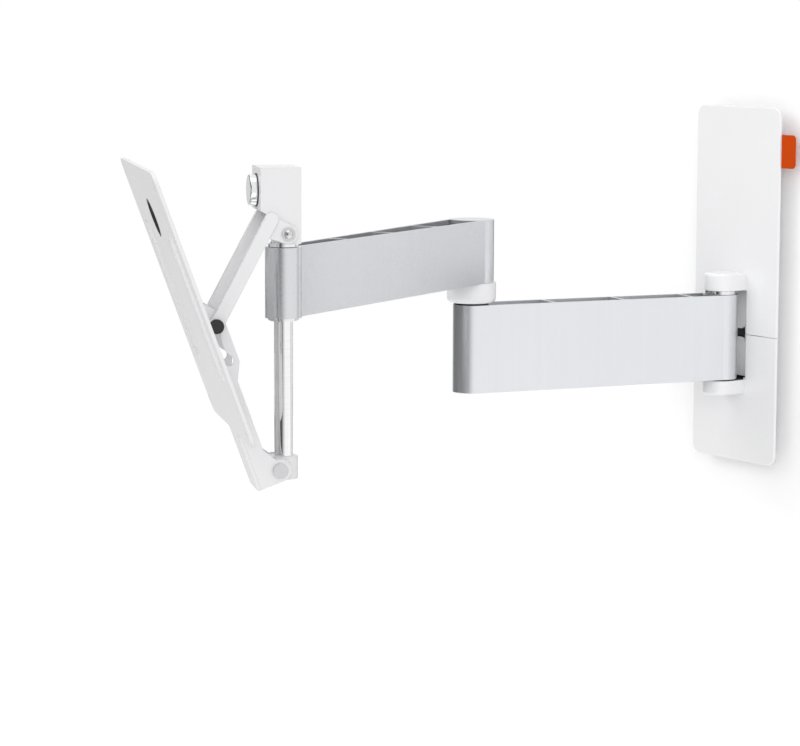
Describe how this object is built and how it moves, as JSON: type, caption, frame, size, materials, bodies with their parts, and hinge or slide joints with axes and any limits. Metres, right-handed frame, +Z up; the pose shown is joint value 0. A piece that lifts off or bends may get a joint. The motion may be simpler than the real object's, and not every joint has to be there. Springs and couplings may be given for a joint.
{
  "type": "swivel tv wall mount",
  "caption": "Wall mount for a flat television: a narrow white wall cover, folding arms of open aluminium extrusion, a swivel shaft and a tilting screen bracket.",
  "frame": {"origin": "middle of the wall plate's back face, on the wall", "axes": "+Y into the wall, +Z up, +X to the right for someone who faces the wall; the room is at -Y"},
  "size_m": [0.2691, 0.7352, 0.332],
  "materials": {
    "steel_plate": "zinc plated sheet, matt",
    "black_cast": "black powder coat, matt",
    "bright_steel": "turned steel",
    "chrome": "polished",
    "black_nylon": "plain matt",
    "cover_white": "smooth white moulding",
    "orange_rubber": "soft matt orange",
    "rear_aluminium": "fine satin anodised",
    "front_aluminium": "fine satin anodised",
    "collar_white": "smooth white moulding",
    "white_coat": "fine white powder coat"
  },
  "bodies": {
    "wall": {"wall_plate": "steel_plate", "hinge_bracket": "black_cast", "hinge_screws": "bright_steel", "hinge_pin": "bright_steel", "upper_hinge_ring": "chrome", "lower_thrust_washer": "black_nylon", "upper_cover": "cover_white", "lower_cover": "cover_white", "pull_tab": "orange_rubber"},
    "rear": {"rear_arm": "rear_aluminium", "wall_bushes": "black_nylon", "elbow_bushes": "black_nylon", "elbow_washer": "black_nylon"},
    "front": {"front_arm": "front_aluminium", "elbow_pin": "bright_steel", "elbow_collar": "collar_white", "shaft_bushes": "black_nylon", "lower_ring": "chrome"},
    "head": {"head_block": "white_coat", "swivel_shaft": "chrome", "upper_ring": "chrome", "round_stud": "chrome", "stud_seat": "black_nylon", "pivot_pin": "bright_steel", "pivot_washers": "bright_steel", "foot_block": "white_coat"},
    "link": {"link_arms": "white_coat", "link_rod": "bright_steel", "rod_caps": "black_nylon"},
    "bracket": {"tilt_rails": "white_coat", "foot_pin": "bright_steel", "screen_plate": "white_coat", "catch_ring": "black_nylon"}
  },
  "joints": [
    {"name": "wall_hinge", "type": "hinge", "parent": "wall", "child": "rear", "pos_m": [0, -0.034, 0], "axis": [0, 0, 1], "range_deg": [-58.9, 71.1]},
    {"name": "elbow_hinge", "type": "hinge", "parent": "rear", "child": "front", "pos_m": [-0.04929, -0.28521, 0], "axis": [0, 0, 1], "range_deg": [-139.2, 55.8]},
    {"name": "swivel", "type": "hinge", "parent": "front", "child": "head", "pos_m": [0.11086, -0.58513, 0], "axis": [0, 0, 1], "range_deg": [-18.9, 121.1]},
    {"name": "tilt", "type": "hinge", "parent": "head", "child": "bracket", "pos_m": [0.10851, -0.59066, -0.1081], "axis": [0.9205, -0.3907, 0], "range_deg": [-20, 0]},
    {"name": "link_pivot", "type": "hinge", "parent": "head", "child": "link", "pos_m": [0.11086, -0.58513, 0.0799], "axis": [0.9205, -0.3907, 0], "range_deg": [0, 30]}
  ],
  "couplings": [
    {"joint": "link_pivot", "follows": "tilt", "ratio": -1.5}
  ]
}
